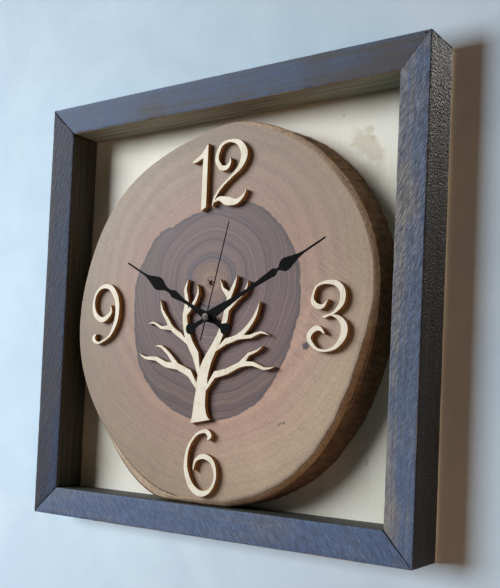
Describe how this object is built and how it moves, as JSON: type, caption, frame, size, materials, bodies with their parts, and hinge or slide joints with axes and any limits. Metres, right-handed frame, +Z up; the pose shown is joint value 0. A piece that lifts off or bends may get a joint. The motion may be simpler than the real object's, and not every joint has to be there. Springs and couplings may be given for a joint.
{
  "type": "wall clock",
  "caption": "Square shadow-box wall clock: mitred wood frame, log-slice dial, raised numerals, tree emblem, spade hands and a battery quartz movement.",
  "frame": {"origin": "point on the wall plane where the hanger bears on its hook, on the frame's middle line", "axes": "+Z up the wall, +X to the right seen from the front, +Y into the wall; the clock stands out from the wall towards -Y"},
  "size_m": [0.35, 0.0402, 0.35],
  "materials": {
    "stained_softwood": "rough-sawn softwood with a worn blue-grey stain",
    "birch_plywood": "pale plywood, unsealed",
    "sawn_log": "sanded end grain under matt varnish, dark live edge",
    "laser_cut_plywood": "laser-cut plywood with browned edges",
    "black_painted_steel": "satin black enamel",
    "bright_steel": "bright plated steel",
    "zinc_plated_steel": "zinc plated",
    "brass": "stamped brass",
    "copper_wire": "enamelled copper wire",
    "black_abs": "moulded, fine texture",
    "natural_acetal": "moulded, waxy",
    "black_foam": "closed-cell foam tape",
    "board_laminate": "green solder mask",
    "battery_sleeve": "plain plastic sleeve over a steel can"
  },
  "bodies": {
    "clock_body": {"frame_rail_top": "stained_softwood", "frame_rail_right": "stained_softwood", "frame_rail_bottom": "stained_softwood", "frame_rail_left": "stained_softwood", "mitre_brad_top_left": "zinc_plated_steel", "mitre_brad_top_right": "zinc_plated_steel", "mitre_brad_bottom_left": "zinc_plated_steel", "mitre_brad_bottom_right": "zinc_plated_steel", "sawtooth_hanger": "zinc_plated_steel", "hanger_pin_left": "bright_steel", "hanger_pin_right": "bright_steel", "backing_panel": "birch_plywood", "panel_screw_top_1": "zinc_plated_steel", "panel_screw_top_2": "zinc_plated_steel", "panel_screw_right_1": "zinc_plated_steel", "panel_screw_right_2": "zinc_plated_steel", "panel_screw_bottom_1": "zinc_plated_steel", "panel_screw_bottom_2": "zinc_plated_steel", "panel_screw_left_1": "zinc_plated_steel", "panel_screw_left_2": "zinc_plated_steel", "wood_slice": "sawn_log", "slice_screw_upper_left": "zinc_plated_steel", "slice_screw_upper_right": "zinc_plated_steel", "slice_screw_lower_left": "zinc_plated_steel", "slice_screw_lower_right": "zinc_plated_steel", "numeral_one": "laser_cut_plywood", "numeral_two": "laser_cut_plywood", "numeral_three": "laser_cut_plywood", "numeral_six": "laser_cut_plywood", "numeral_nine": "laser_cut_plywood", "tree_emblem": "laser_cut_plywood", "movement_case": "black_abs", "movement_cover": "black_abs", "adhesive_pad": "black_foam", "battery": "battery_sleeve", "battery_contact_negative": "zinc_plated_steel", "battery_contact_positive": "zinc_plated_steel", "stator": "bright_steel", "coil_core": "bright_steel", "coil_bobbin": "natural_acetal", "coil_winding": "copper_wire", "circuit_board": "board_laminate", "circuit_chip": "black_abs", "quartz_crystal": "bright_steel"},
    "second_group": {"second_wheel": "natural_acetal", "second_hand": "black_painted_steel", "second_hand_boss": "bright_steel"},
    "minute_group": {"centre_wheel": "brass", "minute_hand": "black_painted_steel", "minute_nut": "bright_steel"},
    "hour_group": {"hour_wheel": "natural_acetal", "hour_hand": "black_painted_steel"},
    "rotor_group": {"rotor": "natural_acetal"},
    "intermediate_group": {"intermediate_wheel": "natural_acetal"},
    "third_group": {"third_wheel": "natural_acetal"},
    "minute_wheel_group": {"minute_wheel": "natural_acetal"},
    "setting_group": {"setting_knob": "black_abs"}
  },
  "joints": [
    {"name": "second_spin", "type": "hinge", "parent": "clock_body", "child": "second_group", "pos_m": [0.0025, 0, -0.176], "axis": [0, 1, 0], "continuous": true},
    {"name": "minute_spin", "type": "hinge", "parent": "clock_body", "child": "minute_group", "pos_m": [0.0025, 0, -0.176], "axis": [0, 1, 0], "continuous": true},
    {"name": "hour_spin", "type": "hinge", "parent": "clock_body", "child": "hour_group", "pos_m": [0.0025, 0, -0.176], "axis": [0, 1, 0], "continuous": true},
    {"name": "rotor_spin", "type": "hinge", "parent": "clock_body", "child": "rotor_group", "pos_m": [0.01794, 0, -0.17269], "axis": [0, 1, 0], "continuous": true},
    {"name": "intermediate_spin", "type": "hinge", "parent": "clock_body", "child": "intermediate_group", "pos_m": [0.01156, 0, -0.1744], "axis": [0, 1, 0], "continuous": true},
    {"name": "third_spin", "type": "hinge", "parent": "clock_body", "child": "third_group", "pos_m": [-0.00278, 0, -0.16846], "axis": [0, 1, 0], "continuous": true},
    {"name": "minute_wheel_spin", "type": "hinge", "parent": "clock_body", "child": "minute_wheel_group", "pos_m": [-0.00656, 0, -0.1776], "axis": [0, 1, 0], "continuous": true},
    {"name": "setting_spin", "type": "hinge", "parent": "clock_body", "child": "setting_group", "pos_m": [-0.01562, 0, -0.1792], "axis": [0, 1, 0], "continuous": true}
  ],
  "couplings": [
    {"joint": "intermediate_spin", "follows": "second_spin", "ratio": -6},
    {"joint": "rotor_spin", "follows": "second_spin", "ratio": 30},
    {"joint": "third_spin", "follows": "second_spin", "ratio": -0.13333},
    {"joint": "minute_spin", "follows": "second_spin", "ratio": 0.016667},
    {"joint": "minute_wheel_spin", "follows": "second_spin", "ratio": -0.0055556},
    {"joint": "hour_spin", "follows": "second_spin", "ratio": 0.0013889},
    {"joint": "setting_spin", "follows": "second_spin", "ratio": 0.016667}
  ]
}
